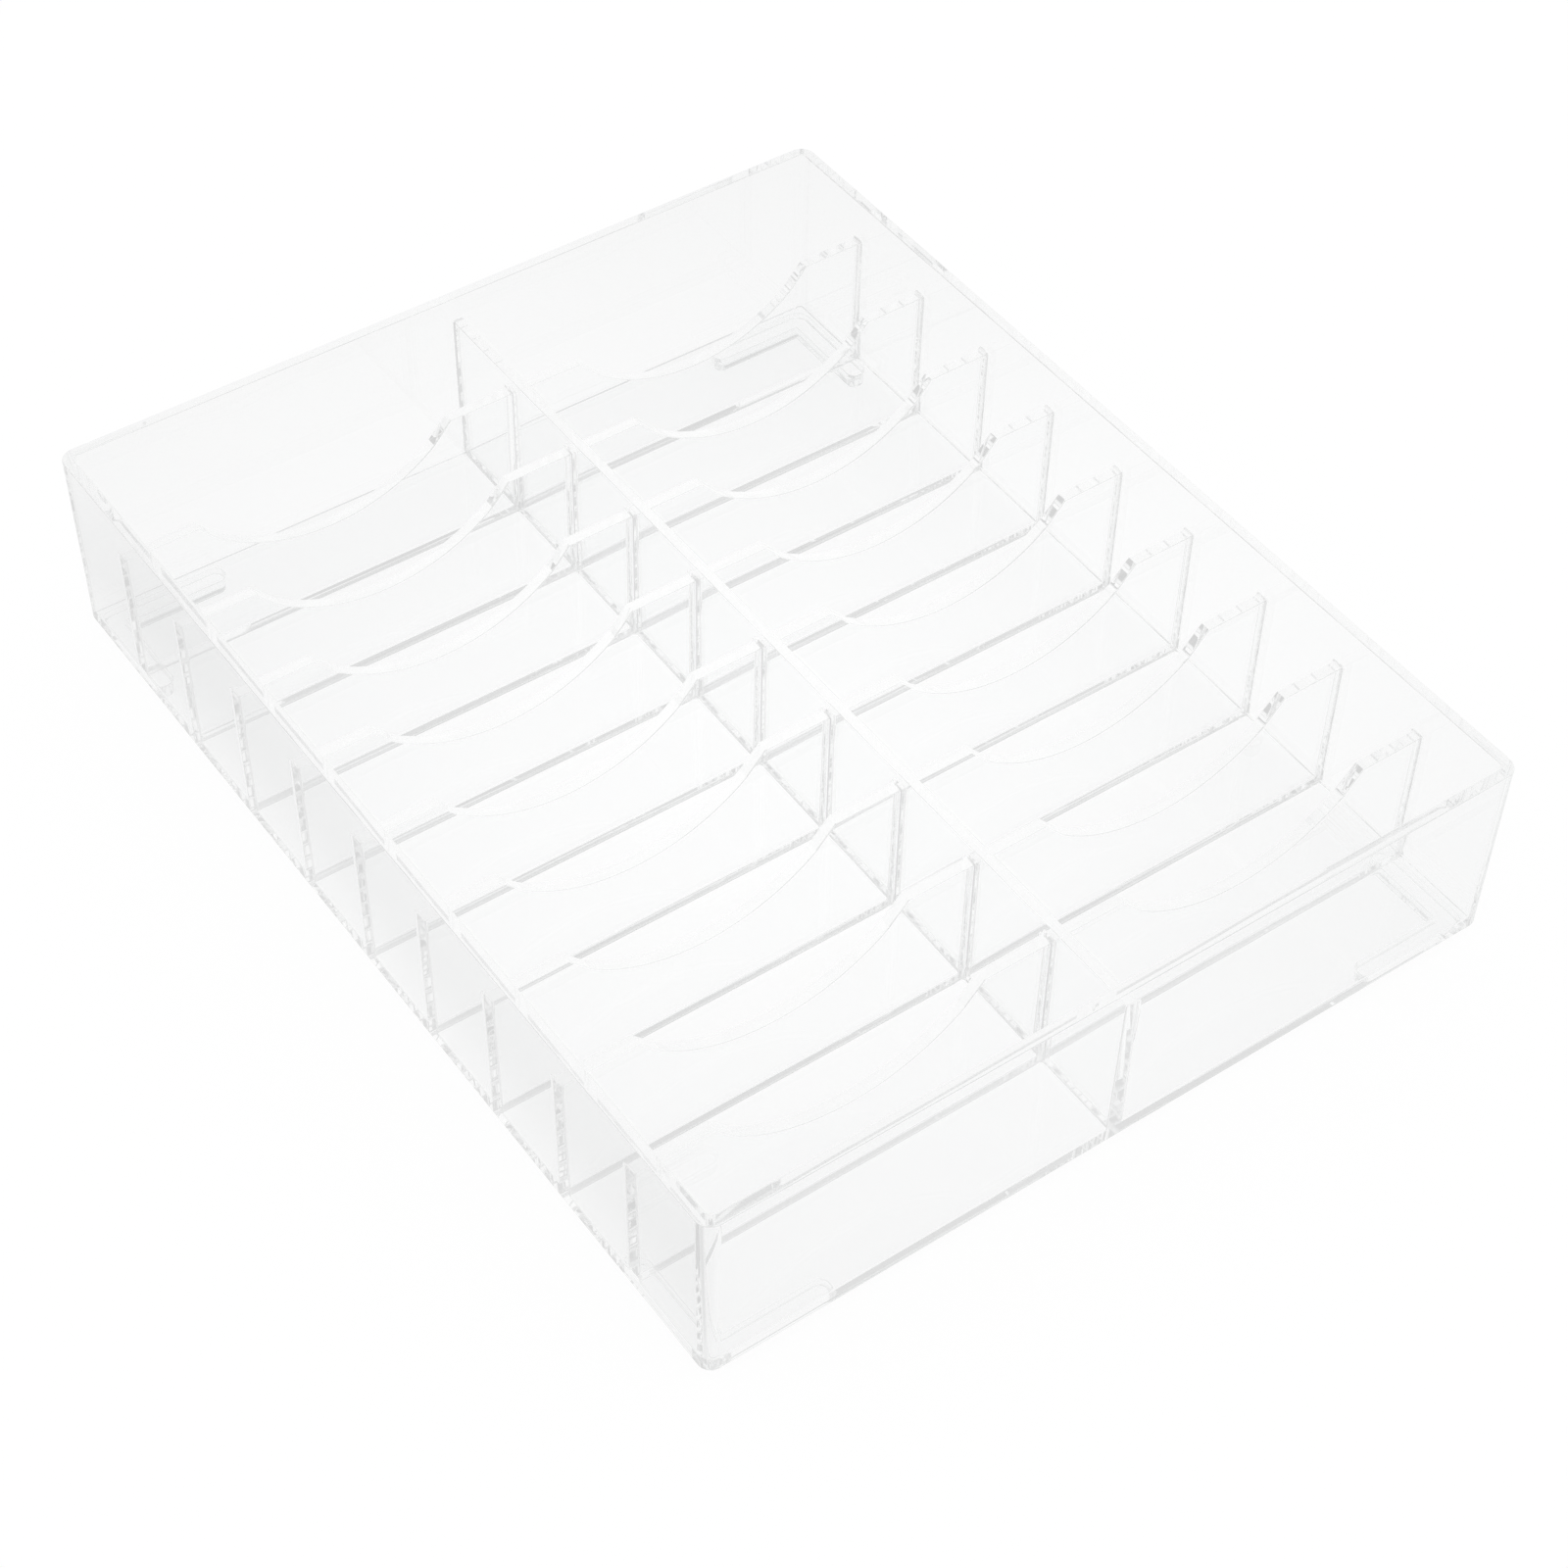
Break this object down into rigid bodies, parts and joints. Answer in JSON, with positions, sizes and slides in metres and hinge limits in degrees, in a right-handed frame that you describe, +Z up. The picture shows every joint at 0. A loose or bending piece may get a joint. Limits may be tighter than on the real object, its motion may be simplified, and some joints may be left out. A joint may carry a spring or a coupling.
{
  "type": "chip rack",
  "caption": "Clear plastic table tray with two columns of narrow compartments and scooped dividers, for rectangular gaming plaques.",
  "frame": {"origin": "centre of the bounding box at the level the feet stand on", "axes": "+Z up; +Y along the tray's long side; +X along its short side, parallel to the cross dividers"},
  "size_m": [0.168, 0.21, 0.0436],
  "materials": {
    "clear_plastic": "clear, polished"
  },
  "bodies": {
    "root": {"tray_shell": "clear_plastic", "centre_divider": "clear_plastic", "left_divider_1": "clear_plastic", "left_divider_2": "clear_plastic", "left_divider_3": "clear_plastic", "left_divider_4": "clear_plastic", "left_divider_5": "clear_plastic", "left_divider_6": "clear_plastic", "left_divider_7": "clear_plastic", "left_divider_8": "clear_plastic", "left_divider_9": "clear_plastic", "right_divider_1": "clear_plastic", "right_divider_2": "clear_plastic", "right_divider_3": "clear_plastic", "right_divider_4": "clear_plastic", "right_divider_5": "clear_plastic", "right_divider_6": "clear_plastic", "right_divider_7": "clear_plastic", "right_divider_8": "clear_plastic", "right_divider_9": "clear_plastic", "foot_front_left": "clear_plastic", "foot_back_left": "clear_plastic", "foot_front_right": "clear_plastic", "foot_back_right": "clear_plastic"}
  },
  "joints": []
}
